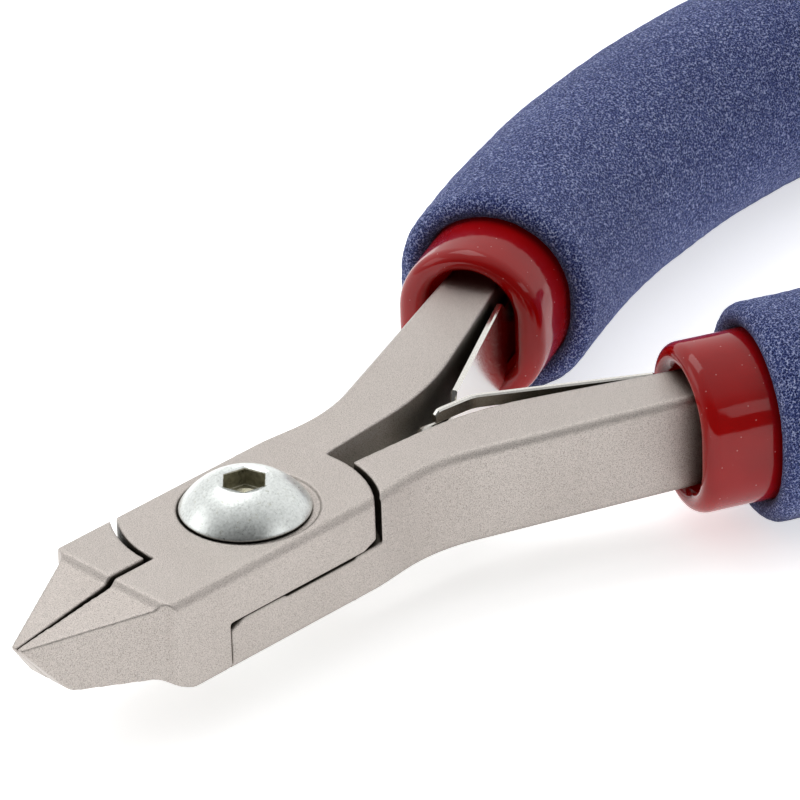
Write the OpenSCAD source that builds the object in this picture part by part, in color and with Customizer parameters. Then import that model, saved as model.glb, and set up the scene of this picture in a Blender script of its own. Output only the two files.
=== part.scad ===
// Flush cut pliers: two lapped halves on a pivot screw, interlocking leaf springs, lined foam grips.
// Millimetres. Origin on the pivot axis at mid-thickness, +X to the cutting tip, +Z to the screw head.
// The upper half has the +Y jaw and the -Y handle. The lower half is its partner.

/* [Joint] */
// Width across the box joint
joint_w = 12.7; // [12.5:0.1:13]
// Thickness of the box joint
joint_t = 7.94; // [7.8:0.01:8.1]
// Radius of the round ends of the laps
lap_r = 9.5; // [9.2:0.05:9.6]
// Radius of the shoulder walls that face the lap ends
shoulder_r = 9.98; // [9.9:0.01:10.15]
// Rounding along the long outer edges
edge_r = 0.75; // [0.5:0.05:0.9]

/* [Jaws] */
// Distance from the pivot to the cutting tip
tip_x = 23; // [22.5:0.1:24]
// Where the body ends and the ground jaws start
jaw_x = 13.45; // [13.2:0.05:13.7]
// Half width of the closed jaws where they start
jaw_half_w = 5.25; // [5:0.05:5.5]
// How far the top of the jaws is ground below the body
jaw_drop = 0.5; // [0.3:0.05:0.7]
// Height of the cutting edges above mid-thickness at the tip
tip_z = 2.22; // [2.1:0.02:2.4]
// Half gap between the jaws behind the cutting edges
relief_gap = 0.24; // [0.16:0.02:0.3]

/* [Pivot screw] */
// Diameter of the domed head
head_d = 9.9; // [9.6:0.1:10]
// Height of the domed head
head_h = 3; // [2.8:0.05:3.1]
// Diameter of the shank
shank_d = 5; // [4.8:0.1:5.2]
// Hexagon socket, across flats
socket_af = 3; // [2.5:0.5:3]
// Radial running clearance of the shank in the upper half
pivot_clear = 0.05; // [0.03:0.01:0.08]

/* [Handles] */
// Width of the bar inside the grip
bar_w = 4.4; // [4.2:0.1:4.6]
// Radius of the long bow inside the grips
bow_r = 88; // [85:1:92]
// Length of bar inside the grip
bar_len = 80; // [76:1:82]

/* [Grips] */
// Length of bare liner in front of the foam
collar_len = 5.4; // [5:0.1:6.5]
// Half width of the liner, across the bar
liner_half_w = 6; // [5.9:0.05:6.1]
// Half height of the liner
liner_half_h = 6.7; // [6.5:0.05:6.8]
// Half width of the foam sleeve
foam_half_w = 8; // [7.8:0.1:8.4]
// Half height of the foam sleeve
foam_half_h = 8.6; // [8.4:0.1:8.8]
// Length of the foam sleeve
foam_len = 80; // [78:1:82]

/* [Springs] */
// Thickness of each leaf
leaf_t = 0.5; // [0.45:0.01:0.55]
// Height of the leaves in front of the grips
leaf_h = 6.9; // [6.4:0.1:7]
// Height of the narrow tongue
tongue_h = 4.4; // [4:0.1:4.6]

/* [Hidden] */
$fn = 96;

half_t = joint_t / 2;
half_w = joint_w / 2;
lap_clear = 0.02;            // gap between the two lap faces
lower_gap = 0.14;            // radial gap between the lower lap's ends and its shoulders
bar_t = joint_t - 0.04;      // the bars stay just under the ground joint faces
reach = 60;                  // longer than any cut needs
arc_step = 7.5;              // degrees per chord of a rounded corner
walk_step = 3;               // degrees per chord of an arc along a handle

// Screw seat, spot-faced a little off the pivot axis
seat_depth = 0.2;
seat_r = head_d / 2 + 0.4;
seat_offset = [-0.18, 0.17];
thread_gap = 0.02;           // radial gap that stands for the thread in the lower half
screw_end = -half_t + 0.3;

// Handle edges, each followed from a point inside the body: [x, y, heading] and a path.
// x runs from the pivot towards the grips and y outwards.
outer_start = [5, half_w, 0];
outer_path = [[2, 0], [12, -6], [2.2, 0], [14, 27.3], [21.5, 0]];
inner_start = [6, 0.886, 4.5];
inner_path = [[10.33, 0], [25, 22], [12.5, 0]];

// Centre of each collar's rim, and the path of the bar from there to its end
grip_x = 34.71;
grip_y = 11.28;
splay = 24;
grip_straight = 9;
bow_turn = 29;
cap_len = 1.5;               // liner that shows behind the foam
liner_len = collar_len + foam_len + cap_len;
lip_front = -0.3;            // behind the rim, where the rounded lip begins
lip_back = 0.8;              // behind the rim, where the lip reaches full size
ring_points = 32;            // points round each ring of a grip

// Hollow in the front of the liner, where the spring leaf joins the bar
cavity_len = 8;
cavity_half_w = 4.75;
cavity_half_h = 4.95;
liner_gap = 0.05;

// Spring leaves. Each root lies on its bar, and the leaf swings about the root's end.
leaf_pivot = 6;              // behind the collar's rim
leaf_bend = 2.5;             // behind the collar's rim, where the leaf leaves the bar
leaf_seat = 0.1;             // gap between the root and the bar
leaf_root_h = 4.8;
leaf_path = [[leaf_pivot - leaf_bend, 0]];
fork_path = [[3, 10.1], [16.3, 0], [3, -27], [2.9, 0]];
tongue_path = [[3, 6.1], [18, 0], [3, -42], [1.5, 0]];
fork_slot_x = 18.5;          // along the leaf, from its pivot to the slot
tongue_x = 20.9;             // along the leaf, from its pivot to the tongue
leaf_end_x = 26;             // longer than either leaf

rivet_x = 4.3;               // behind the collar's rim
rivet_d = 1.4;
rivet_head_d = 2.2;
rivet_head_h = 0.4;
rivet_depth = 2.2;           // into the bar

steel = [0.78, 0.75, 0.73];
zinc = [0.86, 0.88, 0.88];
spring_steel = [0.62, 0.61, 0.57];
vinyl_red = [0.62, 0.05, 0.05];
foam_blue = [0.22, 0.28, 0.5];

// ---- outlines ----

function unit(v) = v / norm(v);
function turned(v, a) = [v.x * cos(a) - v.y * sin(a), v.x * sin(a) + v.y * cos(a)];

// The arc that rounds corner q, between its neighbours p and s, to radius r
function corner_arc(p, q, s, r) =
    let (
        to_p = unit(p - q),
        to_s = unit(s - q),
        half = acos(to_p * to_s) / 2,
        centre = q + unit(to_p + to_s) * r / sin(half),
        start = q + to_p * r / tan(half) - centre,
        turn = -sign(cross(to_p, to_s)) * (180 - 2 * half),
        n = max(2, ceil(abs(turn) / arc_step))
    )
    [for (i = [0 : n]) centre + turned(start, turn * i / n)];

// An outline from its corners, each [x, y, radius]
function outline(corners) =
    let (n = len(corners), xy = [for (c = corners) [c.x, c.y]])
    [
        for (i = [0 : n - 1])
            each (corners[i].z == 0
                ? [xy[i]]
                : corner_arc(xy[(i + n - 1) % n], xy[i], xy[(i + 1) % n], corners[i].z))
    ];

// A rectangle from x = 0 to x = w, centred on y, with its corners at x = w rounded
module edge_section(w, h, r) {
    polygon(outline([[0, -h / 2, 0], [w, -h / 2, r], [w, h / 2, r], [0, h / 2, 0]]));
}

// ---- paths ----

// The places [x, y, heading] that a path reaches from p
function walk(p, path, i = 0) =
    i == len(path) ? [] :
    let (step = path_step(p, path[i][0], path[i][1]))
    concat(step, walk(step[len(step) - 1], path, i + 1));

// The places along one [length, 0] straight or one [radius, turn] arc from p
function path_step(p, size, turn) =
    turn == 0
    ? [[p.x + size * cos(p.z), p.y + size * sin(p.z), p.z]]
    : let (
        centre = [p.x, p.y] + sign(turn) * size * [-sin(p.z), cos(p.z)],
        n = ceil(abs(turn) / walk_step)
    )
    [
        for (i = [1 : n])
            let (at = centre + turned([p.x, p.y] - centre, turn * i / n))
            [at.x, at.y, p.z + turn * i / n]
    ];

// The point u to the left of a place, in plan
function beside(place, u) = [place.x - u * sin(place.z), place.y + u * cos(place.z)];

// A bar of the given section along a path of [length, 0] straights and [radius, turn] arcs.
// The path starts at the origin along +X; section x is to its left, section y is up.
module along(path, i = 0) {
    if (i < len(path)) {
        size = path[i][0];
        turn = path[i][1];
        if (turn == 0)
            rotate([90, 0, 90])
                linear_extrude(size)
                    children();
        else if (turn > 0)
            left_arc(size, turn)
                children();
        else
            mirror([0, 1, 0])
                left_arc(size, -turn)
                    mirror([1, 0])
                        children();
        path_end(size, turn)
            along(path, i + 1)
                children();
    }
}

// One arc of a path that bends to its left
module left_arc(radius, turn) {
    translate([0, radius, 0])
        rotate([0, 0, -90])
            rotate_extrude(angle = turn)
                translate([radius, 0])
                    mirror([1, 0])
                        children();
}

// Moves the children to the end of one step of a path
module path_end(size, turn) {
    end = turn == 0 ? [size, 0] : [size * sin(abs(turn)), sign(turn) * size * (1 - cos(turn))];
    translate([end.x, end.y, 0])
        rotate([0, 0, turn])
            children();
}

// Puts the children on the -Y handle, in the frame of its grip: +X from the collar's rim towards
// the handle's end, +Y outwards
module in_grip() {
    rotate([0, 0, 180])
        translate([grip_x, grip_y, 0])
            rotate([0, 0, splay])
                children();
}

// The places along the middle of the grip between two distances behind the collar's rim
function grip_places(from, to) =
    let (bow_len = bow_r * bow_turn * PI / 180)
    concat([[from, 0, 0]],
        walk([from, 0, 0],
            [[grip_straight - from, 0], [bow_r, -bow_turn], [to - grip_straight - bow_len, 0]]));

// ---- skins ----

// A ring with flat sides and a half-round top and bottom, at one place of a path
function racetrack(place, half_wide, half_high) = [
    for (i = [0 : ring_points - 1])
        let (
            a = 360 * i / ring_points - 45,
            rise = sign(round(1000 * sin(a))) * (half_high - half_wide)
        )
        on_place(place, half_wide * cos(a), rise + half_wide * sin(a))
];

// A rectangular ring with as many points
function box_ring(place, half_wide, half_high) =
    let (corners = [[1, -1], [1, 1], [-1, 1], [-1, -1]])
    [
        for (i = [0 : ring_points - 1])
            let (
                at = 4 * i / ring_points,
                from = corners[floor(at)],
                to = corners[(floor(at) + 1) % 4],
                p = from + (to - from) * (at - floor(at))
            )
            on_place(place, half_wide * p.x, half_high * p.y)
    ];

// The point u to the left of a place and v above it
function on_place(place, u, v) = concat(beside(place, u), v);

// A solid skinned over rings. It is capped at both ends, or closed from the last to the first ring.
module skin(rings, closed = false) {
    n = ring_points;
    last = len(rings) - 1;
    polyhedron(
        points = [for (ring = rings) each ring],
        faces = [
            for (r = [0 : closed ? last : last - 1])
                for (i = [0 : n - 1])
                    let (
                        a = r * n + i,
                        b = r * n + (i + 1) % n,
                        c = ((r + 1) % (last + 1)) * n + (i + 1) % n,
                        d = ((r + 1) % (last + 1)) * n + i
                    )
                    each [[a, b, c], [a, c, d]],
            if (!closed) [for (i = [n - 1 : -1 : 0]) i],
            if (!closed) [for (i = [0 : n - 1]) last * n + i]
        ]
    );
}

// ---- halves ----

// Plan of the +Y jaw and the side of the body behind it
module jaw_plan() {
    gap_at_tip = 0.03;
    nose_y = 0.5;
    polygon(outline([
        [2, relief_gap, 0],
        [jaw_x, relief_gap, 3],
        [tip_x, gap_at_tip, 0],
        [tip_x, nose_y, 0.35],
        [jaw_x + 0.1, jaw_half_w, 0.9],
        [jaw_x - 0.4, half_w, 0.6],
        [2, half_w, 0]
    ]));
}

// Side view of the body and the jaws
module side_profile() {
    nose_z = 1.85;
    polygon(outline([
        [-12, half_t, 0],
        [jaw_x, half_t, 0.5],
        [jaw_x + 0.35, half_t - jaw_drop, 0.65],
        [tip_x + 0.05, tip_z, 0.15],
        [tip_x - 0.2, nose_z, 0.3],
        [19.8, -1.95, 1.2],
        [14, -2.4, 1.5],
        [11, -half_t, 3],
        [-12, -half_t, 0]
    ]));
}

// The long block with rounded edges that the body is cut from
module body_block() {
    for (side = [0, 1])
        mirror([0, side, 0])
            translate([-12, 0, 0])
                rotate([90, 0, 90])
                    linear_extrude(12 + reach)
                        edge_section(half_w, joint_t, edge_r);
}

// The jaw and the body beside it, at full thickness
module jaw_block() {
    intersection() {
        translate([0, 0, -half_t])
            linear_extrude(joint_t)
                jaw_plan();
        translate([0, half_w + 1, 0])
            rotate([90, 0, 0])
                linear_extrude(half_w + 1)
                    side_profile();
        body_block();
    }
}

// The bare handle and the bar inside its grip, on the -Y side
module handle() {
    outer = walk(outer_start, outer_path);
    inner = walk(inner_start, inner_path);
    bar = grip_places(0, bar_len);
    translate([0, 0, -bar_t / 2])
        rotate([0, 0, 180])
            linear_extrude(bar_t)
                polygon([
                    [outer_start.x, outer_start.y],
                    for (p = outer) [p.x, p.y],
                    for (i = [len(inner) - 1 : -1 : 0]) [inner[i].x, inner[i].y],
                    [inner_start.x, inner_start.y]
                ]);
    translate([0, 0, -bar_t / 2])
        in_grip()
            linear_extrude(bar_t)
                polygon([
                    for (p = bar) beside(p, bar_w / 2),
                    for (i = [len(bar) - 1 : -1 : 0]) beside(bar[i], -bar_w / 2)
                ]);
}

// A lap's disc of radius r, chamfered at the parting face and with a groove along its long side
module lap(r) {
    chamfer_h = 0.55;
    chamfer_w = 0.95;
    groove_h = 0.2;
    groove_w = 0.35;
    groove_ends = [-7, 2.2];
    difference() {
        intersection() {
            translate([0, 0, lap_clear / 2]) {
                cylinder(h = chamfer_h, r1 = r - chamfer_w, r2 = r);
                translate([0, 0, chamfer_h])
                    cylinder(h = half_t - lap_clear / 2 - chamfer_h, r = r);
            }
            body_block();
        }
        translate([groove_ends[0], -half_w - 1, -1])
            cube([groove_ends[1] - groove_ends[0], 1 + groove_w, 1 + groove_h]);
    }
}

// A half with its jaw on the +Y side and its handle on the -Y side. level is 0 where its lap is
// the upper one and 1 where it is the lower one.
module plain_half(level) {
    difference() {
        union() {
            jaw_block();
            handle();
        }
        mirror([0, 0, level])
            translate([0, 0, -reach])
                cylinder(h = reach + lap_clear / 2, r = shoulder_r);
    }
    mirror([0, 0, level])
        lap(level == 0 ? lap_r : shoulder_r - lower_gap);
}

// The blind hole for a spring rivet, in the frame of the grip
module rivet_hole() {
    translate([rivet_x, -bar_w / 2 - 1, 0])
        rotate([-90, 0, 0])
            cylinder(h = rivet_depth + 1, d = rivet_d + 0.04);
}

module upper_half() {
    color(steel)
        difference() {
            plain_half(0);
            translate([0, 0, -reach / 2])
                cylinder(h = reach, r = shank_d / 2 + pivot_clear);
            translate([seat_offset.x, seat_offset.y, half_t - seat_depth])
                cylinder(h = reach, r = seat_r);
            in_grip()
                rivet_hole();
        }
}

module lower_half() {
    color(steel)
        mirror([0, 1, 0])
            difference() {
                plain_half(1);
                translate([0, 0, -reach / 2])
                    cylinder(h = reach, r = shank_d / 2 + thread_gap);
                in_grip()
                    rivet_hole();
            }
}

// ---- pivot screw ----

module pivot_screw() {
    rim_h = 0.25;
    dome_h = head_h - rim_h;
    dome_r = (pow(head_d / 2, 2) + pow(dome_h, 2)) / (2 * dome_h);
    socket_depth = 1.9;
    socket_r = socket_af / 2 / cos(30);
    mouth_r = socket_af / 2 - 0.1;
    mouth_depth = 0.67;
    mouth_flare = 1.9;
    end_chamfer = 0.4;
    base_z = half_t - seat_depth;
    color(zinc)
        difference() {
            union() {
                translate([0, 0, base_z])
                    intersection() {
                        cylinder(h = head_h, d = head_d);
                        translate([0, 0, head_h - dome_r])
                            sphere(dome_r);
                    }
                translate([0, 0, screw_end + end_chamfer])
                    cylinder(h = base_z - screw_end - end_chamfer + 0.1, d = shank_d);
                translate([0, 0, screw_end])
                    cylinder(h = end_chamfer, d1 = shank_d - 2 * end_chamfer, d2 = shank_d);
            }
            translate([0, 0, base_z + head_h - socket_depth])
                rotate([0, 0, 45])
                    cylinder(h = reach, r = socket_r, $fn = 6);
            translate([0, 0, base_z + head_h - mouth_depth])
                cylinder(h = mouth_depth + 0.1, r1 = mouth_r, r2 = mouth_r + mouth_flare);
        }
}

// ---- springs ----

// Puts the children at the pivot of the -Y leaf, with +X along its root towards the tip
module on_leaf() {
    in_grip()
        translate([leaf_pivot, -bar_w / 2 - leaf_seat - leaf_t / 2, 0])
            rotate([0, 0, 180])
                children();
}

// Half of the side view of a leaf: its root, then full height to wide_end, then end_h
function leaf_side(wide_end, end_h) =
    let (flare_x = leaf_pivot + 1.3)
    [
        [leaf_end_x, end_h / 2, 0],
        [wide_end, end_h / 2, 0.3],
        [wide_end, leaf_h / 2, 0.5],
        [flare_x + 1.2, leaf_h / 2, 0.5],
        [flare_x, leaf_root_h / 2, 0.5],
        [0, leaf_root_h / 2, 0.6]
    ];

// A strip along a path, cut to its side view and drilled for its rivet
module leaf(path, side) {
    hole_clear = 0.2;
    lower_side = [for (i = [len(side) - 1 : -1 : 0]) [side[i].x, -side[i].y, side[i].z]];
    on_leaf()
        difference() {
            intersection() {
                along(concat(leaf_path, path))
                    square([leaf_t, leaf_h], center = true);
                rotate([90, 0, 0])
                    linear_extrude(reach, center = true)
                        polygon(outline(concat(side, lower_side)));
            }
            translate([leaf_pivot - rivet_x, 0, 0])
                rotate([90, 0, 0])
                    cylinder(h = 2, d = rivet_d + 2 * hole_clear, center = true);
        }
}

module forked_spring() {
    slot_h = tongue_h + 0.5;
    color(spring_steel)
        mirror([0, 1, 0])
            difference() {
                leaf(fork_path, leaf_side(leaf_end_x - 0.5, leaf_h - 0.4));
                on_leaf()
                    translate([fork_slot_x, -reach / 2, -slot_h / 2])
                        cube([reach, reach, slot_h]);
            }
}

module tongued_spring() {
    color(spring_steel)
        leaf(tongue_path, leaf_side(tongue_x, tongue_h));
}

// The rivet on the -Y side that holds a leaf to its bar, with room for the leaf to swing
module rivet() {
    head_gap = 0.42;
    in_grip()
        translate([rivet_x, -bar_w / 2 - leaf_seat - leaf_t - head_gap, 0]) {
            rotate([-90, 0, 0])
                cylinder(h = head_gap + leaf_t + leaf_seat + rivet_depth - 0.1, d = rivet_d);
            rotate([90, 0, 0])
                cylinder(h = rivet_head_h, d = rivet_head_d);
        }
}

module forked_spring_rivet() {
    color(zinc)
        mirror([0, 1, 0])
            rivet();
}

module tongued_spring_rivet() {
    color(zinc)
        rivet();
}

// ---- grips, on the -Y side ----

// A dipped liner: a pocket round the bar, a hollow at the front, a rounded lip and an outer skin
module grip_liner() {
    pocket = grip_places(cavity_len, bar_len + liner_gap);
    lip_mid = (lip_front + lip_back) / 2;
    outer = grip_places(lip_back, liner_len);
    color(vinyl_red)
        in_grip()
            skin([
                for (i = [len(pocket) - 1 : -1 : 0])
                    box_ring(pocket[i], bar_w / 2 + liner_gap, bar_t / 2 + liner_gap),
                racetrack([cavity_len, 0, 0], cavity_half_w, cavity_half_h),
                racetrack([lip_mid, 0, 0], cavity_half_w, cavity_half_h),
                racetrack([lip_front, 0, 0], cavity_half_w + 0.4, cavity_half_h + 0.4),
                racetrack([lip_front, 0, 0], liner_half_w - 0.7, liner_half_h - 0.7),
                racetrack([lip_mid, 0, 0], liner_half_w - 0.2, liner_half_h - 0.2),
                for (place = outer)
                    racetrack(place, liner_half_w, liner_half_h)
            ]);
}

// A foam tube with rounded ends
module foam_sleeve() {
    round_r = 1;
    full = grip_places(collar_len + round_r, collar_len + foam_len - round_r);
    bore = grip_places(collar_len, collar_len + foam_len);
    last = len(bore) - 1;
    color(foam_blue)
        in_grip()
            skin([
                racetrack(bore[0], foam_half_w - round_r, foam_half_h - round_r),
                for (place = full)
                    racetrack(place, foam_half_w, foam_half_h),
                racetrack(bore[last], foam_half_w - round_r, foam_half_h - round_r),
                for (i = [last : -1 : 0])
                    racetrack(bore[i], liner_half_w + liner_gap, liner_half_h + liner_gap)
            ], closed = true);
}

module upper_grip_liner() {
    grip_liner();
}

module lower_grip_liner() {
    mirror([0, 1, 0])
        grip_liner();
}

module upper_foam_sleeve() {
    foam_sleeve();
}

module lower_foam_sleeve() {
    mirror([0, 1, 0])
        foam_sleeve();
}

upper_half();
lower_half();
pivot_screw();
forked_spring();
tongued_spring();
forked_spring_rivet();
tongued_spring_rivet();
upper_grip_liner();
lower_grip_liner();
upper_foam_sleeve();
lower_foam_sleeve();
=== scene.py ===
"""Looks for the flush cut pliers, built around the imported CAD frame.

Metres. The origin is on the pivot axis at mid-thickness, +X to the cutting tip, +Z to the screw
head. The upper half has the -Y handle (side -1) and the lower half the +Y handle (side +1).
"""
import math

import bmesh
import bpy
import numpy as np
from mathutils import Matrix, Vector, noise


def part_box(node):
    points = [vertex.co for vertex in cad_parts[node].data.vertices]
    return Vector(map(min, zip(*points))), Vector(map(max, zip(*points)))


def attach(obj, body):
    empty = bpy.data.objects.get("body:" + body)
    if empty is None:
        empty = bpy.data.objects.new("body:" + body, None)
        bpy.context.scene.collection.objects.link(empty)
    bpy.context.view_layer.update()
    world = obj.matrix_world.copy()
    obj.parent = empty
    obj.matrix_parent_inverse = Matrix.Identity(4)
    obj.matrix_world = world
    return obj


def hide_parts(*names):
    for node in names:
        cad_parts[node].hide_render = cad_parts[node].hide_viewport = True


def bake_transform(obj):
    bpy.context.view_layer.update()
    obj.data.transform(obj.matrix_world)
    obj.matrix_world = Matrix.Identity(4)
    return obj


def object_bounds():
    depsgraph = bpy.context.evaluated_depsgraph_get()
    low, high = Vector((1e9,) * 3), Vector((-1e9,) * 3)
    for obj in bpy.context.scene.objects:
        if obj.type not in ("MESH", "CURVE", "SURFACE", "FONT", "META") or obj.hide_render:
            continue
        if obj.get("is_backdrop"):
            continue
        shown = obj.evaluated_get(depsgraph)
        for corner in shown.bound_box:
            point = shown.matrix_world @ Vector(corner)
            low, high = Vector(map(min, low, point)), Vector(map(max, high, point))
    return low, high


MM = 0.001
SIDES = {"upper": -1, "lower": 1}
AZIMUTH = 0.80332            # of the camera, about the pivot axis from +X

# Grid step, smoothing rounds and share of faces kept when a steel half is rebuilt
FINE_GRID = (0.1 * MM, 3, 0.4)

# Joint and handles, as in the CAD
HALF_T = 3.97 * MM
OUTER_START = (5 * MM, 6.35 * MM, 0.0)
OUTER_PATH = ((2, 0), (12, -6), (2.2, 0), (14, 27.3), (21.5, 0))
HANDLE_ROUND = 0.75 * MM
SEAT_DEPTH = 0.2 * MM
SEAT_CRISP_R = 6.2 * MM      # the edges of the screw's seat stay crisp inside this radius
SEAT_CRISP_Z = 3.3 * MM      # and above this height

# Pivot screw: a button head with a 3 mm hexagon socket, whose depth is from the top of the dome
SHANK_R = 2.5 * MM
HEAD_H = 3 * MM
HEAD_RIM_H = 0.25 * MM
SOCKET_FLAT = 1.5 * MM
SOCKET_DEPTH = 1.9 * MM
SOCKET_TURN = math.radians(45)
MOUTH_R = 2.1 * MM

# Grips: where the collar's rim is, how far the handle splays, and its bow; then the sections,
# as half widths and half heights, and lengths along the bar from the rim
RIM_X = 34.71 * MM
RIM_Y = 11.28 * MM
SPLAY = math.radians(24)
STRAIGHT = 9 * MM
BOW_R = 88 * MM
BOW_TURN = math.radians(29)
LINER_W = 6 * MM
LINER_H = 6.7 * MM
LIP_FRONT = -0.3 * MM
LIP_BACK = 0.8 * MM
HOLE_W = 3.5 * MM
HOLE_H = 4.95 * MM
HOLE_DEPTH = 8 * MM
POCKET_END = 80.05 * MM
BAR_W = 2.25 * MM
BAR_H = 4.02 * MM
COLLAR_LEN = 5.4 * MM
FOAM_LEN = 80 * MM
FOAM_W = 8 * MM
FOAM_H = 8.6 * MM
FOAM_CLEAR = 0.04 * MM       # between the foam's bore and the liner
FOAM_ROUND = 1.15 * MM       # of the outer edge of its ends
CAP_LEN = 1.5 * MM
CAP_ROUND = 1.2 * MM

# Spring leaves, each followed from the end of its root towards the tip
LEAF_T = 0.5 * MM
LEAF_PIVOT = 6 * MM
LEAF_OFFSET = 2.55 * MM
FORK_PATH = ((3.5, 0), (3, 10.1), (16.3, 0), (3, -27), (2.9, 0))
TONGUE_PATH = ((3.5, 0), (3, 6.1), (18, 0), (3, -42), (1.5, 0))
FORK_SLOT = 18.5 * MM
FORK_SLOT_H = 2.45 * MM
TONGUE_START = 20.9 * MM
ROOT_H = 2.4 * MM            # half heights of a leaf: at its root, in the open and at the tongue
LEAF_H = 3.45 * MM
TONGUE_H = 2.2 * MM

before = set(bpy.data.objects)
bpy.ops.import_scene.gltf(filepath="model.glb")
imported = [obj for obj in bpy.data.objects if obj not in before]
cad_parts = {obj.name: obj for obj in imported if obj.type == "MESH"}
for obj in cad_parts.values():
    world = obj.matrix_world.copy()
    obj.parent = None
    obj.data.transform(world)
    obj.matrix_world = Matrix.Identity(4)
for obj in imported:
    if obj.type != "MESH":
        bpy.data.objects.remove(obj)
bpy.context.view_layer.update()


# ---- meshes ----

def add_object(name, data):
    """Puts a mesh, a lamp or a camera in the scene."""
    item = bpy.data.objects.new(name, data)
    bpy.context.scene.collection.objects.link(item)
    return item


def modified_mesh(item):
    """A copy of an object's mesh with its modifiers applied."""
    bpy.context.view_layer.update()
    graph = bpy.context.evaluated_depsgraph_get()
    return bpy.data.meshes.new_from_object(item.evaluated_get(graph))


def stand_for(piece, node, body):
    """Shows a piece in place of a CAD node, with its finish and on its body."""
    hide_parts(node)
    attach(piece, body)


def new_piece(name, verts, faces, material, smooth=True):
    """A mesh object in the row frame, with the normals of a closed mesh pointing out."""
    mesh = bpy.data.meshes.new(name)
    mesh.from_pydata(verts, [], faces)
    work = bmesh.new()
    work.from_mesh(mesh)
    bmesh.ops.recalc_face_normals(work, faces=work.faces)
    work.to_mesh(mesh)
    work.free()
    mesh.polygons.foreach_set("use_smooth", [smooth] * len(mesh.polygons))
    mesh.materials.append(material)
    return add_object(name, mesh)


def ring_faces(rings, points, closed=False):
    """Quads between successive rings of points, with end caps unless it closes on itself."""
    faces = []
    spans = rings if closed else rings - 1
    for r in range(spans):
        for i in range(points):
            j = (i + 1) % points
            a, b = r * points, ((r + 1) % rings) * points
            faces.append((a + i, a + j, b + j, b + i))
    if not closed:
        faces.append(tuple(range(points - 1, -1, -1)))
        faces.append(tuple((rings - 1) * points + i for i in range(points)))
    return faces


def grip_place(s):
    """Plan position and heading, in the frame of the grip, at distance s behind the rim."""
    bow_len = BOW_R * BOW_TURN
    if s <= STRAIGHT:
        return s, 0.0, 0.0
    a = min(s - STRAIGHT, bow_len) / BOW_R
    x = STRAIGHT + BOW_R * math.sin(a)
    y = -BOW_R * (1 - math.cos(a))
    rest = max(0.0, s - STRAIGHT - bow_len)
    return x + rest * math.cos(a), y - rest * math.sin(a), -a


def grip_point(s, u, v, side):
    """The row-frame point at distance s, u outwards from the middle of the bar and v up."""
    x, y, a = grip_place(s)
    x, y = x - u * math.sin(a), y + u * math.cos(a)
    return (
        -(RIM_X + x * math.cos(SPLAY) - y * math.sin(SPLAY)),
        side * (RIM_Y + x * math.sin(SPLAY) + y * math.cos(SPLAY)),
        v,
    )


def racetrack(half_w, half_h, points):
    """A section with flat sides and half-round ends, as (u, v) pairs at even spacing."""
    flat = 2 * (half_h - half_w)
    arc = math.pi * half_w
    total = 2 * (flat + arc)
    out = []
    for i in range(points):
        t = total * i / points
        side = 1 if t < total / 2 else -1
        t = t % (total / 2)
        if t < flat:
            u, v = half_w, t - flat / 2
        else:
            a = (t - flat) / half_w
            u, v = half_w * math.cos(a), flat / 2 + half_w * math.sin(a)
        out.append((side * u, side * v))
    return out


def box_section(half_w, half_h, points):
    """A rectangle with the same count of points, starting where racetrack() does."""
    corners = [(1, -1), (1, 1), (-1, 1), (-1, -1), (1, -1)]
    lengths = [2 * half_h, 2 * half_w, 2 * half_h, 2 * half_w]
    total = sum(lengths)
    out = []
    for i in range(points):
        t = total * i / points
        k = 0
        while t > lengths[k]:
            t -= lengths[k]
            k += 1
        f = t / lengths[k]
        u = corners[k][0] * (1 - f) + corners[k + 1][0] * f
        v = corners[k][1] * (1 - f) + corners[k + 1][1] * f
        out.append((u * half_w, v * half_h))
    return out


def remeshed(node, voxel):
    """Vertices and mesh of a CAD node, rebuilt on an even grid."""
    work = add_object("work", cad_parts[node].data.copy())
    modifier = work.modifiers.new("grid", "REMESH")
    modifier.mode = "VOXEL"
    modifier.voxel_size = voxel
    mesh = modified_mesh(work)
    bpy.data.objects.remove(work)
    co = np.empty(len(mesh.vertices) * 3)
    mesh.vertices.foreach_get("co", co)
    return co.reshape(-1, 3), mesh


def relax(co, mesh, rounds, crisp):
    """Smooths edges over a few grid steps, but over one only where crisp is set."""
    edges = np.empty(len(mesh.edges) * 2, np.int32)
    mesh.edges.foreach_get("vertices", edges)
    a, b = edges.reshape(-1, 2).T
    n = len(co)
    count = np.bincount(a, minlength=n) + np.bincount(b, minlength=n)
    for done in range(rounds):
        mean = np.empty_like(co)
        for k in range(3):
            total = np.bincount(a, co[b, k], n) + np.bincount(b, co[a, k], n)
            mean[:, k] = total / count
        if done:
            mean[crisp] = co[crisp]
        co = (co + mean) / 2
    return co


def walk(start, path):
    """Plan points from start in metres, along straights and arcs in millimetres and degrees."""
    step = math.radians(2)
    x, y, heading = start
    points = [(x, y)]
    for size, turn in path:
        size, turn = size * MM, math.radians(turn)
        if turn == 0:
            x, y = x + size * math.cos(heading), y + size * math.sin(heading)
            points.append((x, y))
            continue
        n = math.ceil(abs(turn) / step)
        for _ in range(n):
            chord = 2 * size * math.sin(abs(turn) / n / 2)
            heading += turn / n / 2
            x, y = x + chord * math.cos(heading), y + chord * math.sin(heading)
            heading += turn / n / 2
            points.append((x, y))
    return np.array(points)


def distance_inside(xy, line):
    """Distance of each plan point to a line of points, and the nearest point's inward normal."""
    best = np.full(len(xy), np.inf)
    normal = np.zeros_like(xy)
    for p, q in zip(line[:-1], line[1:]):
        d = q - p
        t = np.clip(((xy - p) @ d) / (d @ d), 0, 1)
        gap = xy - (p + t[:, None] * d)
        length = np.linalg.norm(gap, axis=1)
        nearer = length < best
        best[nearer] = length[nearer]
        normal[nearer] = np.array([d[1], -d[0]]) / np.linalg.norm(d)
    return best, normal


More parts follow.
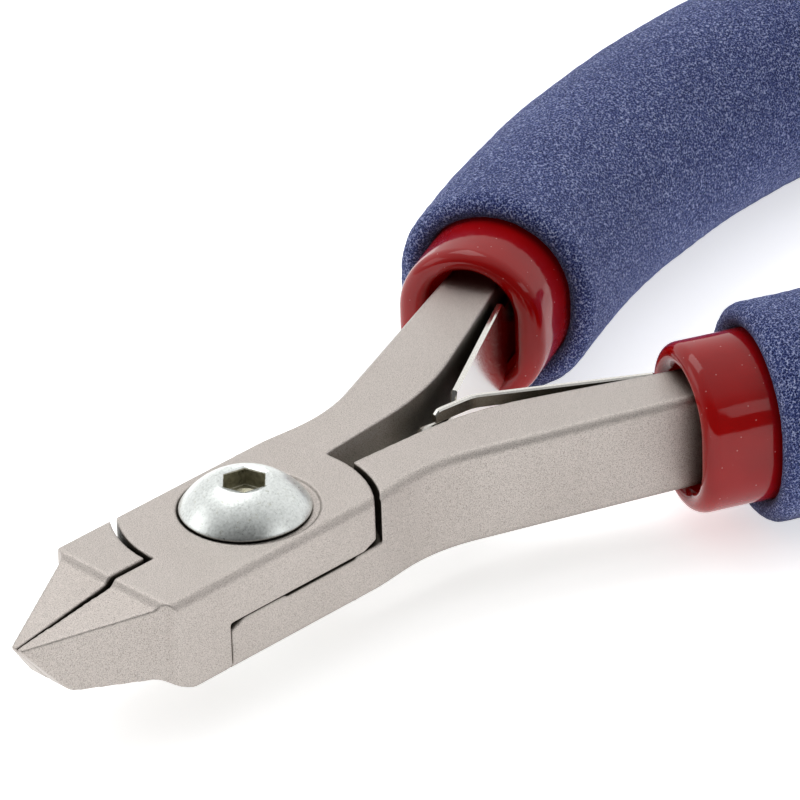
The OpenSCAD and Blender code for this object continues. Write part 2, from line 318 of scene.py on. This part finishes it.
def round_outer_edges(co, side):
    """Rounds the long outer edges of a bare handle, top and bottom."""
    plan = np.column_stack([-co[:, 0], side * co[:, 1]])
    line = walk(OUTER_START, OUTER_PATH)
    depth, inward = distance_inside(plan, line)
    ends = (plan[:, 0] > OUTER_START[0]) & (plan[:, 0] < RIM_X + 6 * MM) & (plan[:, 1] > 0)
    height = HALF_T - np.abs(co[:, 2])
    r = HANDLE_ROUND
    near = ends & (depth < r) & (height < r)
    across, up = r - depth[near], r - height[near]
    excess = 1 - np.minimum(r / np.maximum(np.hypot(across, up), 1e-9), 1)
    shift = inward[near] * (across * excess)[:, None]
    co[near, 0] -= shift[:, 0]
    co[near, 1] += side * shift[:, 1]
    co[near, 2] -= np.sign(co[near, 2]) * up * excess
    return co


def steel_half(body, material):
    """A half with worked edges: rebuilt on a fine grid, rounded, relaxed and thinned out."""
    node, name = body + "_half", body + "_steel_half"
    voxel, rounds, keep = FINE_GRID
    co, mesh = remeshed(node, voxel)
    co = round_outer_edges(co, SIDES[body])
    near_screw = np.hypot(co[:, 0], co[:, 1]) < SEAT_CRISP_R
    co = relax(co, mesh, rounds, near_screw & (co[:, 2] > SEAT_CRISP_Z))
    mesh.vertices.foreach_set("co", co.ravel())
    mesh.polygons.foreach_set("use_smooth", [True] * len(mesh.polygons))
    mesh.materials.clear()
    mesh.materials.append(material)
    mesh.name = name
    piece = add_object(name, mesh)
    piece.modifiers.new("thin", "DECIMATE").ratio = keep
    stand_for(piece, node, body)


# ---- materials ----

def fill_ramp(node, stops):
    """Sets the stops of a colour ramp, as (position, colour) pairs."""
    elements = node.color_ramp.elements
    while len(elements) < len(stops):
        elements.new(0.5)
    for element, (place, colour) in zip(elements, stops):
        element.position = place
        element.color = (*colour, 1)


class Shader:
    """A node material with short helpers. Sizes and coordinates are in millimetres."""

    def __init__(self, name):
        self.material = bpy.data.materials.new(name)
        self.material.use_nodes = True
        self.nodes = self.material.node_tree.nodes
        self.links = self.material.node_tree.links
        self.surface = self.nodes["Principled BSDF"]
        coords = self.nodes.new("ShaderNodeTexCoord")
        scale = self.nodes.new("ShaderNodeMapping")
        scale.inputs["Scale"].default_value = (1 / MM,) * 3
        self.links.new(coords.outputs["Object"], scale.inputs["Vector"])
        self.coords = scale.outputs["Vector"]

    def set(self, **values):
        """Sets plain values of the surface."""
        for key, value in values.items():
            self.surface.inputs[key.replace("_", " ")].default_value = value

    def use(self, **sockets):
        """Links node outputs to the surface."""
        for key, value in sockets.items():
            self.links.new(value, self.surface.inputs[key.replace("_", " ")])

    def noise(self, size, detail=2, roughness=0.5):
        node = self.nodes.new("ShaderNodeTexNoise")
        node.inputs["Scale"].default_value = 1 / size
        node.inputs["Detail"].default_value = detail
        node.inputs["Roughness"].default_value = roughness
        self.links.new(self.coords, node.inputs["Vector"])
        return node.outputs["Fac"]

    def cells(self, size):
        node = self.nodes.new("ShaderNodeTexVoronoi")
        node.inputs["Scale"].default_value = 1 / size
        self.links.new(self.coords, node.inputs["Vector"])
        return node.outputs["Distance"]

    def ramp(self, value, stops):
        node = self.nodes.new("ShaderNodeValToRGB")
        fill_ramp(node, stops)
        self.links.new(value, node.inputs["Fac"])
        return node.outputs["Color"]

    def between(self, value, low, high):
        """Spreads a noise, which runs from about 0.3 to 0.7, over low to high."""
        node = self.nodes.new("ShaderNodeMapRange")
        ends = {"From Min": 0.3, "From Max": 0.7, "To Min": low, "To Max": high}
        for key, number in ends.items():
            node.inputs[key].default_value = number
        self.links.new(value, node.inputs["Value"])
        return node.outputs["Result"]

    def mix(self, factor, first, second, blend="MIX"):
        node = self.nodes.new("ShaderNodeMix")
        node.data_type = "RGBA"
        node.blend_type = blend
        for key, item in (("Factor", factor), ("A", first), ("B", second)):
            socket = [s for s in node.inputs if s.name == key and s.enabled][0]
            if isinstance(item, (float, int)):
                socket.default_value = item
            elif isinstance(item, tuple):
                socket.default_value = (*item, 1)
            else:
                self.links.new(item, socket)
        return [s for s in node.outputs if s.enabled][0]

    def math(self, operation, first, second):
        node = self.nodes.new("ShaderNodeMath")
        node.operation = operation
        for socket, item in zip(node.inputs, (first, second)):
            if isinstance(item, (float, int)):
                socket.default_value = item
            else:
                self.links.new(item, socket)
        return node.outputs["Value"]

    def crevices(self, reach):
        """Openness of the surroundings within reach, from 0 in a deep gap to 1 in the open."""
        node = self.nodes.new("ShaderNodeAmbientOcclusion")
        node.samples = 8
        node.inputs["Distance"].default_value = reach * MM
        return node.outputs["AO"]

    def bump(self, height, depth):
        node = self.nodes.new("ShaderNodeBump")
        node.inputs["Distance"].default_value = depth * MM
        self.links.new(height, node.inputs["Height"])
        return node.outputs["Normal"]


def satin_steel():
    """Bead-blasted tool steel: a fine sparkle, with painted shade darkening its gaps and inner
    faces.
    """
    m = Shader("satin_steel")
    m.set(Metallic=1.0)
    grain = m.noise(0.072, 2, 0.65)
    speckle = m.cells(0.14)
    mottle = m.noise(6, 2, 0.5)
    tone = m.ramp(mottle, ((0.3, (0.574, 0.524, 0.488)), (0.7, (0.602, 0.552, 0.516))))
    fleck = m.ramp(grain, ((0.36, (0.38, 0.37, 0.36)), (0.54, (0.93, 0.93, 0.93)),
                           (0.70, (1.0, 1.0, 1.0))))
    pits = m.ramp(speckle, ((0.05, (0.60, 0.59, 0.57)), (0.24, (1.0, 1.0, 1.0))))
    blasted = m.mix(0.85, m.mix(0.8, tone, fleck, "MULTIPLY"), pits, "MULTIPLY")
    # painted shade: the steel goes nearly black in narrow gaps, such as the parting line and
    # between the jaws
    gap = m.ramp(m.crevices(0.7), ((0.12, (0.020, 0.018, 0.014)), (0.42, (0.30, 0.29, 0.26)),
                                   (0.72, (1.0, 1.0, 1.0))))
    # painted shade: the steel goes darker on faces that look into hollows, such as the inner faces
    # of the handles
    painted_inner_shade = m.ramp(m.crevices(9), ((0.25, (0.40, 0.39, 0.34)), (0.70, (1.0, 1.0, 1.0))))
    blasted_with_painted_shade = m.mix(1.0, m.mix(1.0, blasted, gap, "MULTIPLY"), painted_inner_shade, "MULTIPLY")
    m.use(Base_Color=blasted_with_painted_shade,
          Roughness=m.between(grain, 0.36, 0.50),
          Normal=m.bump(grain, 0.034))
    return m.material


def zinc_plate():
    """Zinc plate with a fine mottle, a few scuffs and painted shade at its rim."""
    m = Shader("zinc_plate")
    m.set(Metallic=1.0)
    grain = m.noise(0.22, 3, 0.65)
    scuffs = m.noise(0.5, 5, 0.75)
    tone = m.ramp(grain, ((0.3, (0.60, 0.63, 0.61)), (0.62, (0.82, 0.85, 0.83))))
    worn = m.ramp(scuffs, ((0.33, (0.66, 0.64, 0.55)), (0.41, (1.0, 1.0, 1.0))))
    # painted shade: the plate goes dark where the head meets its seat and in other narrow crevices
    rim = m.ramp(m.crevices(1.0), ((0.2, (0.06, 0.055, 0.045)), (0.70, (1.0, 1.0, 1.0))))
    m.use(Base_Color=m.mix(1.0, m.mix(0.8, tone, worn, "MULTIPLY"), rim, "MULTIPLY"),
          Roughness=m.between(grain, 0.26, 0.38),
          Normal=m.bump(grain, 0.010))
    return m.material


def dark_socket():
    """Steel inside the broached socket, kept darker than the head as painted shade in the recess.
    """
    m = Shader("dark_socket")
    m.set(Metallic=0.9)
    grain = m.noise(0.35, 3)
    # painted shade: a dark tone for the socket's walls, which lie in shade
    tone = m.ramp(grain, ((0.3, (0.26, 0.25, 0.18)), (0.7, (0.50, 0.48, 0.38))))
    m.use(Base_Color=tone, Roughness=m.between(grain, 0.25, 0.42),
          Normal=m.bump(grain, 0.02))
    return m.material


def spring_strip():
    """Polished strip with fine marks along it, and painted shade where other parts close round it.
    """
    m = Shader("spring_steel")
    m.set(Metallic=1.0)
    grain = m.noise(0.15, 2)
    tone = m.ramp(grain, ((0.3, (0.72, 0.70, 0.65)), (0.7, (0.86, 0.84, 0.79))))
    # painted shade: the strip goes darker where other parts close round it, as inside the collar
    painted_inner_shade = m.ramp(m.crevices(5), ((0.15, (0.18, 0.17, 0.13)), (0.6, (1.0, 1.0, 1.0))))
    m.use(Base_Color=m.mix(1.0, tone, painted_inner_shade, "MULTIPLY"),
          Roughness=m.between(grain, 0.10, 0.19))
    return m.material


def red_vinyl():
    """Glossy dipped vinyl with a little dust, and painted shade in its hollow and by the foam. Its
    faint red glow is painted light, an emission.
    """
    m = Shader("red_vinyl")
    # painted light: the faint red emission makes the vinyl glow
    m.set(Specular_IOR_Level=0.36, Emission_Color=(0.35, 0.0, 0.0, 1), Emission_Strength=0.06)
    wave = m.noise(3.0, 2)
    dust = m.cells(0.8)
    spots = m.ramp(dust, ((0.05, (1, 1, 1)), (0.09, (0, 0, 0))))
    tone = m.ramp(wave, ((0.3, (0.260, 0.0012, 0.0014)), (0.7, (0.310, 0.0018, 0.0018))))
    # painted shade: the vinyl goes darker in its hollow and where it meets the foam
    deep = m.ramp(m.crevices(2.5), ((0.35, (0.30, 0.30, 0.30)), (0.75, (1.0, 1.0, 1.0))))
    shaded = m.mix(1.0, tone, deep, "MULTIPLY")
    m.use(Base_Color=m.mix(m.math("MULTIPLY", spots, 0.4), shaded, (0.75, 0.42, 0.40)),
          Roughness=m.between(m.noise(0.5, 3), 0.05, 0.12),
          Normal=m.bump(wave, 0.025))
    return m.material


def blue_foam():
    """Fine-celled foam rubber: small pits between paler cell walls, with painted shade on its
    ends.
    """
    m = Shader("blue_foam")
    m.set(Roughness=0.9, Specular_IOR_Level=0.3,
          Sheen_Weight=0.2, Sheen_Roughness=0.4, Sheen_Tint=(0.60, 0.68, 1.0, 1))
    cell = m.cells(0.17)
    fine = m.noise(0.095, 3, 0.8)
    broad = m.noise(5.0, 2)
    height = m.math("ADD", m.math("MULTIPLY", cell, 0.35), fine)
    tone = m.ramp(height, ((0.54, (0.002, 0.006, 0.048)), (0.67, (0.030, 0.050, 0.215)),
                           (0.75, (0.17, 0.22, 0.52)), (0.84, (0.62, 0.68, 0.90))))
    shade = m.ramp(broad, ((0.3, (0.88, 0.88, 0.90)), (0.7, (1, 1, 1))))
    # painted shade: the foam goes darker at its ends, next to the collar and the cap
    ends = m.ramp(m.crevices(3.5), ((0.50, (0.40, 0.40, 0.45)), (0.92, (0.94, 0.94, 0.95))))
    dye_and_painted_shade = m.mix(1.0, m.mix(1.0, tone, shade, "MULTIPLY"), ends, "MULTIPLY")
    m.use(Base_Color=dye_and_painted_shade, Normal=m.bump(height, 0.14))
    return m.material


def studio_floor():
    """White paper, lit from below."""
    m = Shader("studio_floor")
    m.set(Roughness=0.7, Specular_IOR_Level=0.1,
          Emission_Color=(1, 1, 1, 1), Emission_Strength=0.60)
    tone = m.ramp(m.noise(60), ((0.3, (0.93, 0.93, 0.93)), (0.7, (0.95, 0.95, 0.95))))
    m.use(Base_Color=tone)
    return m.material


# ---- grips ----

def lip_rings(points):
    """Rings of a collar from its hollow, round its lip, to its outer skin."""
    steps = 14
    mid_w, reach_w = (LINER_W + HOLE_W) / 2, (LINER_W - HOLE_W) / 2
    mid_h, reach_h = (LINER_H + HOLE_H) / 2, (LINER_H - HOLE_H) / 2
    rings = []
    for k in range(steps + 1):
        a = math.pi * (1 - k / steps)
        s = LIP_BACK - (LIP_BACK - LIP_FRONT) * math.sin(a)
        half_w = mid_w + reach_w * math.cos(a)
        half_h = mid_h + reach_h * math.cos(a)
        rings.append((s, racetrack(half_w, half_h, points)))
    return rings


def grip_liner(body, material):
    """Dipped liner: pocket round the bar, hollow, rolled lip, outer skin and rear cap."""
    points, pocket_steps, skin_steps, cap_steps = 96, 24, 46, 5
    cap_end = COLLAR_LEN + FOAM_LEN + CAP_LEN
    cap_start = cap_end - CAP_ROUND
    rings = []
    for k in range(pocket_steps, -1, -1):
        s = HOLE_DEPTH + (POCKET_END - HOLE_DEPTH) * k / pocket_steps
        rings.append((s, box_section(BAR_W, BAR_H, points)))
    for s in (HOLE_DEPTH, 6 * MM, 4 * MM, 2 * MM):
        rings.append((s, racetrack(HOLE_W, HOLE_H, points)))
    rings += lip_rings(points)
    for k in range(1, skin_steps + 1):
        s = LIP_BACK + (cap_start - LIP_BACK) * k / skin_steps
        rings.append((s, racetrack(LINER_W, LINER_H, points)))
    for k in range(1, cap_steps + 1):
        a = math.pi / 2 * k / cap_steps
        inset = CAP_ROUND * (1 - math.cos(a))
        section = racetrack(LINER_W - inset, LINER_H - inset, points)
        rings.append((cap_start + CAP_ROUND * math.sin(a), section))
    verts = [grip_point(s, u, v, SIDES[body]) for s, section in rings for u, v in section]
    faces = ring_faces(len(rings), points)
    piece = new_piece(body + "_dipped_liner", verts, faces, material)
    stand_for(piece, body + "_grip_liner", body)


def foam_point(s, u, v, side):
    """A point of the foam's skin, pushed in and out by its soft, uneven surface."""
    p = Vector(grip_point(s, u, v, side)) / MM
    swell = 0.10 * noise.noise(p / 7) + 0.04 * noise.noise(p / 0.9) + 0.04 * noise.noise(p / 0.45)
    scale = 1 + swell * MM / math.hypot(u, v)
    return grip_point(s, u * scale, v * scale, side)


def foam_end(outer_r, inner_r):
    """Depth and inset of the rounded end of the foam, from its bore to its outer skin."""
    steps = 7
    out = []
    for k in range(steps + 1):
        a = math.pi / 2 * k / steps
        out.append((inner_r * (1 - math.sin(a)), outer_r + inner_r * math.cos(a)))
    for k in range(1, steps + 1):
        a = math.pi / 2 * k / steps
        out.append((outer_r * (1 - math.cos(a)), outer_r * (1 - math.sin(a))))
    return out


def foam_sleeve(body, material):
    """Foam tube with full-round ends: front end, outer skin, rear end and bore."""
    side = SIDES[body]
    points, skin_steps, bore_steps = 200, 200, 40
    start, end = COLLAR_LEN - 0.1 * MM, COLLAR_LEN + FOAM_LEN
    bore_w, bore_h = LINER_W + FOAM_CLEAR, LINER_H + FOAM_CLEAR
    inner_r = FOAM_W - bore_w - FOAM_ROUND
    taper = (FOAM_H - bore_h) / (FOAM_W - bore_w)
    profile = foam_end(FOAM_ROUND, inner_r)
    first, last = start + FOAM_ROUND, end - FOAM_ROUND
    rings = [(start + depth, inset) for depth, inset in profile]
    rings += [(first + (last - first) * k / skin_steps, 0.0) for k in range(1, skin_steps)]
    rings += [(end - depth, inset) for depth, inset in reversed(profile)]
    verts = []
    for s, inset in rings:
        for u, v in racetrack(FOAM_W - inset, FOAM_H - inset * taper, points):
            verts.append(foam_point(s, u, v, side))
    first, last = end - inner_r, start + inner_r
    bore = [first + (last - first) * k / bore_steps for k in range(1, bore_steps)]
    for s in bore:
        verts += [grip_point(s, u, v, side) for u, v in racetrack(bore_w, bore_h, points)]
    faces = ring_faces(len(rings) + len(bore), points, closed=True)
    piece = new_piece(body + "_foam_grip", verts, faces, material)
    stand_for(piece, body + "_foam_sleeve", body)


# ---- springs ----

def leaf_stations(path):
    """Places (x, y, heading, distance) along a leaf, from the end of its root."""
    step = 0.35 * MM
    x = y = heading = run = 0.0
    out = [(x, y, heading, run)]
    for size, turn in path:
        size, turn = size * MM, math.radians(turn)
        length = size if turn == 0 else size * abs(turn)
        n = max(4, math.ceil(length / step))
        chord = length / n
        for _ in range(n):
            heading += turn / n / 2
            x, y = x + chord * math.cos(heading), y + chord * math.sin(heading)
            heading += turn / n / 2
            run += chord
            out.append((x, y, heading, run))
    return out


def eased(run, start, length):
    """Goes smoothly from 0 to 1 over a length of the leaf."""
    t = min(max((run - start) / length, 0.0), 1.0)
    return t * t * (3 - 2 * t)


def leaf_height(run, end, tongued):
    """Half height of a leaf: its root, in front of the collar, its tongue and its rounded tip."""
    height = ROOT_H + (LEAF_H - ROOT_H) * eased(run, LEAF_PIVOT, 1.2 * MM)
    if tongued:
        height += (TONGUE_H - LEAF_H) * eased(run, TONGUE_START, 0.45 * MM)
    tip = max(0.0, 1 - (end - run) / (0.5 * MM))
    return height - 0.35 * MM * tip ** 2


def spring_leaf(node, body, path, material):
    """A polished strip with dressed edges; the forked one is slotted to let the tongue through."""
    side = SIDES[body]
    tongued = node == "tongued_spring"
    edge = 0.12 * MM
    flat_u, half_u = LEAF_T / 2 - edge, LEAF_T / 2
    verts = []
    stations = leaf_stations(path)
    end = stations[-1][3]
    for x, y, heading, run in stations:
        half_v = leaf_height(run, end, tongued)
        flat_v = half_v - edge
        section = [(half_u, -flat_v), (half_u, flat_v), (flat_u, half_v), (-flat_u, half_v),
                   (-half_u, flat_v), (-half_u, -flat_v), (-flat_u, -half_v), (flat_u, -half_v)]
        for u, v in section:
            a = x - u * math.sin(heading)
            b = y + u * math.cos(heading)
            verts.append(grip_point(LEAF_PIVOT - a, -LEAF_OFFSET - b, v, side))
    faces = ring_faces(len(stations), len(section))
    piece = new_piece(node + "_leaf", verts, faces, material, smooth=False)
    if not tongued:
        cut_slot(piece, side)
    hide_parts(node)
    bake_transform(piece)


def cut_slot(piece, side):
    """Cuts the fork's slot, as tall as the tongue and a little more."""
    start = LEAF_PIVOT - FORK_SLOT
    past_tip = start - 12 * MM
    corners = []
    for s in (start, past_tip):
        for u in (-20 * MM, 5 * MM):
            for v in (-FORK_SLOT_H, FORK_SLOT_H):
                corners.append(grip_point(s, u, v, side))
    faces = [(0, 1, 3, 2), (4, 6, 7, 5), (0, 4, 5, 1), (2, 3, 7, 6), (0, 2, 6, 4), (1, 5, 7, 3)]
    cutter = new_piece("slot", corners, faces, piece.data.materials[0])
    cut = piece.modifiers.new("slot", "BOOLEAN")
    cut.object = cutter
    cut.solver = "EXACT"
    mesh = modified_mesh(piece)
    piece.modifiers.clear()
    piece.data = mesh
    bpy.data.objects.remove(cutter)


# ---- pivot screw ----

def screw_ring(radius, z):
    """Points at height z, at the radius that the function gives for each angle."""
    points = 144
    ring = []
    for i in range(points):
        a = 2 * math.pi * i / points
        r = radius(a)
        ring.append((r * math.cos(a), r * math.sin(a), z))
    return ring


def circle(r, z):
    return screw_ring(lambda a: r, z)


def hexagon(flat, z):
    """A hexagon of half width flat across its flats."""
    def radius(a):
        off = (a - SOCKET_TURN) % (math.pi / 3) - math.pi / 6
        return flat / math.cos(off)
    return screw_ring(radius, z)


def pivot_screw(material, socket_material):
    """Button head with a rolled rim, a countersunk hexagon socket and a plain shank."""
    low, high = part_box("pivot_screw")
    head_r = high.x
    base = HALF_T - SEAT_DEPTH
    top = base + HEAD_H
    dome_h = HEAD_H - HEAD_RIM_H
    dome_r = (head_r ** 2 + dome_h ** 2) / (2 * dome_h)
    floor_z = top - SOCKET_DEPTH
    chamfer = 0.4 * MM
    rings = [circle(0.02 * MM, low.z),
             circle(SHANK_R - chamfer, low.z),
             circle(SHANK_R, low.z + chamfer),
             circle(SHANK_R, base),
             circle(head_r - 0.22 * MM, base),
             circle(head_r - 0.07 * MM, base + 0.06 * MM),
             circle(head_r, base + 0.2 * MM)]
    dome_steps = 40
    rim_r = head_r - 0.02 * MM
    for k in range(dome_steps + 1):
        r = rim_r - (rim_r - MOUTH_R) * k / dome_steps
        mouth_z = top - dome_r + math.sqrt(dome_r ** 2 - r ** 2)
        rings.append(circle(r, mouth_z))
    rings += [circle(MOUTH_R - 0.06 * MM, mouth_z - 0.015 * MM),
              hexagon(SOCKET_FLAT + 0.06 * MM, mouth_z - 0.13 * MM),
              hexagon(SOCKET_FLAT, mouth_z - 0.20 * MM),
              hexagon(SOCKET_FLAT, floor_z + 0.04 * MM),
              hexagon(SOCKET_FLAT - 0.04 * MM, floor_z),
              circle(1.2 * MM, floor_z - 0.02 * MM),
              circle(0.02 * MM, floor_z - 0.45 * MM)]
    verts = [p for ring in rings for p in ring]
    faces = ring_faces(len(rings), len(rings[0]))
    piece = new_piece("button_head_screw", verts, faces, material)
    piece.data.materials.append(socket_material)
    # the socket's walls take the darker socket material, as painted shade in the recess
    for face in piece.data.polygons:
        x, y, z = face.center
        if base < z < mouth_z - 0.14 * MM and math.hypot(x, y) < MOUTH_R:
            face.material_index = 1
            face.use_smooth = False
    stand_for(piece, "pivot_screw", "lower")


# ---- stage ----

def add_floor(material):
    """A wide sheet just under the lowest point of the tool."""
    low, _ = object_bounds()
    z = low[2] - 0.1 * MM
    reach = 3.0
    verts = [(-reach, -reach, z), (reach, -reach, z), (reach, reach, z), (-reach, reach, z)]
    new_piece("floor", verts, [(0, 1, 2, 3)], material, smooth=False)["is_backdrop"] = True


def add_area(name, place, size, power):
    """A soft box aimed at the middle of the bare handles."""
    data = bpy.data.lights.new(name, "AREA")
    data.shape = "RECTANGLE"
    data.size, data.size_y = size
    data.energy = power
    lamp = add_object(name, data)
    lamp.location = place
    aim = Vector((-20 * MM, 0, 0))
    lamp.rotation_euler = (aim - Vector(place)).to_track_quat("-Z", "Y").to_euler()


def add_world():
    """A pale wall behind the tool that falls off to a darker studio behind the camera."""
    world = bpy.data.worlds.new("studio")
    world.use_nodes = True
    nodes, links = world.node_tree.nodes, world.node_tree.links
    coords = nodes.new("ShaderNodeTexCoord")
    facing = nodes.new("ShaderNodeVectorMath")
    facing.operation = "DOT_PRODUCT"
    facing.inputs[1].default_value = (-math.cos(AZIMUTH) / 2, -math.sin(AZIMUTH) / 2, 0.12)
    centre = nodes.new("ShaderNodeMath")
    centre.inputs[1].default_value = 0.5
    ramp = nodes.new("ShaderNodeValToRGB")
    greys = ((0.0, 0.07), (0.22, 0.12), (0.42, 0.60), (0.62, 0.85), (0.8, 1.0))
    fill_ramp(ramp, [(place, (grey,) * 3) for place, grey in greys])
    links.new(coords.outputs["Generated"], facing.inputs[0])
    links.new(facing.outputs["Value"], centre.inputs[0])
    links.new(centre.outputs["Value"], ramp.inputs["Fac"])
    links.new(ramp.outputs["Color"], nodes["Background"].inputs["Color"])
    bpy.context.scene.world = world


def add_camera():
    """A long lens from above the cutting tip, level but for a slight roll."""
    elevation, roll = 0.52474, -0.03339
    distance = 0.5996
    target = Vector((-18.671, -2.647, 3.97)) * MM
    back = Vector((math.cos(elevation) * math.cos(AZIMUTH),
                   math.cos(elevation) * math.sin(AZIMUTH),
                   math.sin(elevation)))
    right = (-back).cross(Vector((0, 0, 1))).normalized()
    up = right.cross(-back)
    c, s = math.cos(roll), math.sin(roll)
    right, up = c * right + s * up, c * up - s * right
    data = bpy.data.cameras.new("camera")
    data.sensor_width = 36
    data.lens = 360
    data.clip_start = 0.01
    camera = add_object("camera", data)
    turn = Matrix((right, up, back)).transposed().to_4x4()
    camera.matrix_world = Matrix.Translation(target + distance * back) @ turn
    bpy.context.scene.camera = camera


steel = satin_steel()
strip = spring_strip()
vinyl = red_vinyl()
foam = blue_foam()
zinc = zinc_plate()

for body in SIDES:
    steel_half(body, steel)
    grip_liner(body, vinyl)
    foam_sleeve(body, foam)
spring_leaf("forked_spring", "lower", FORK_PATH, strip)
spring_leaf("tongued_spring", "upper", TONGUE_PATH, strip)

for node in ("forked_spring_rivet", "tongued_spring_rivet"):
    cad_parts[node].data.materials.clear()
    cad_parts[node].data.materials.append(steel)

pivot_screw(zinc, dark_socket())
add_floor(studio_floor())
add_world()
add_area("key", (-0.10, -0.32, 0.68), (0.45, 0.45), 1.3)
add_area("left_fill", (0.45, -0.50, 0.30), (0.4, 0.3), 0.4)
add_area("right_fill", (-0.15, 0.65, 0.35), (0.4, 0.2), 0.3)
add_camera()
bpy.context.scene.view_settings.view_transform = "Standard"
